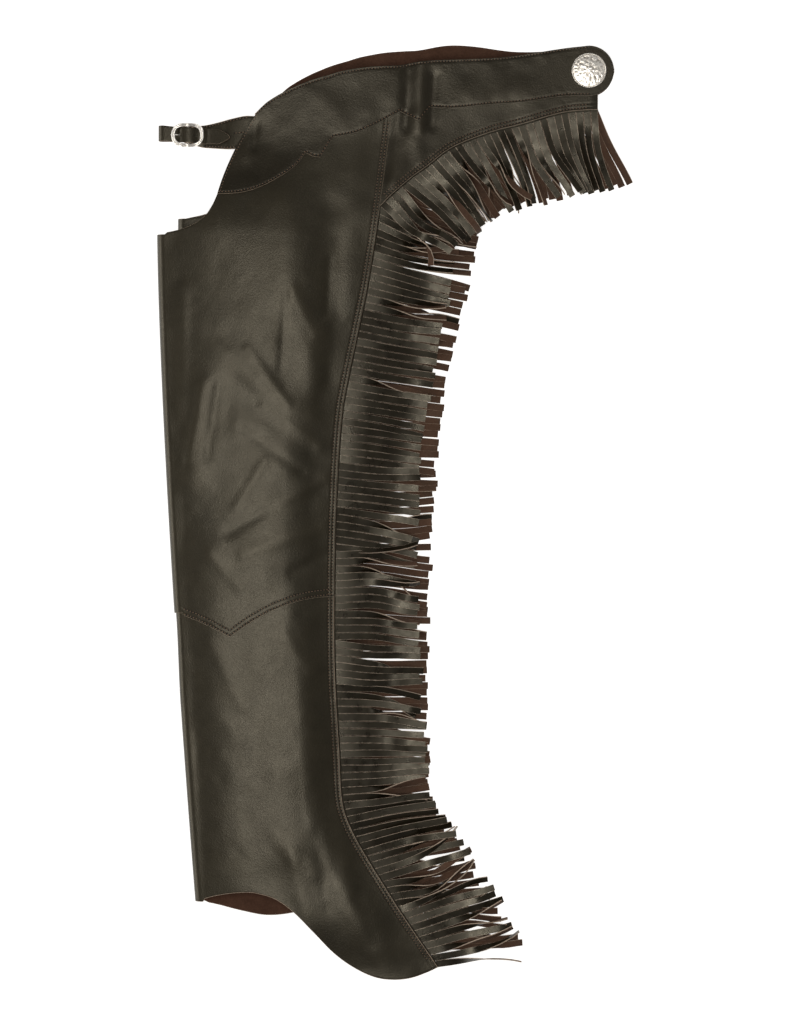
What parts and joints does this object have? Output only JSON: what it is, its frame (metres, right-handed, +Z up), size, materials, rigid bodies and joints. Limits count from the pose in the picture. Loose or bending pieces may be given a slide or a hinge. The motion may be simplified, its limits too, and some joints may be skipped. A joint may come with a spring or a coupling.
{
  "type": "western show chaps",
  "caption": "Western riding chaps in smooth leather with shaped yokes, long fringe and flared heels, a front strap buckle and a rear concho, lying folded flat.",
  "frame": {"origin": "on the surface the chaps lie on, under the middle of their bounding box", "axes": "+X towards the back of the wearer, +Y towards the waist, +Z up off the surface"},
  "size_m": [0.5252, 1.0342, 0.0413],
  "materials": {
    "leather": "smooth waxy grain, olive brown, with a red-brown suede back",
    "yoke_leather": "smooth grain, a shade darker, with a red-brown suede back",
    "fringe_leather": "cut strips, smooth on one side and suede on the other",
    "strap_leather": "smooth grain, stitched edges",
    "zip_tape": "woven tape, matt",
    "silver": "engraved, polished silver tone",
    "nickel": "polished nickel tone"
  },
  "bodies": {
    "root": {"left_thigh_panel": "leather", "left_shin_panel": "leather", "left_yoke": "yoke_leather", "left_hip_panel": "leather", "left_fringe": "fringe_leather", "left_side_zip": "zip_tape", "right_thigh_panel": "leather", "right_shin_panel": "leather", "right_yoke": "yoke_leather", "right_hip_panel": "leather", "right_fringe": "fringe_leather", "right_side_zip": "zip_tape", "billet_strap": "strap_leather", "buckle_tab": "strap_leather", "buckle_frame": "nickel", "buckle_tongue": "nickel", "concho": "silver", "concho_screw": "nickel"}
  },
  "joints": []
}
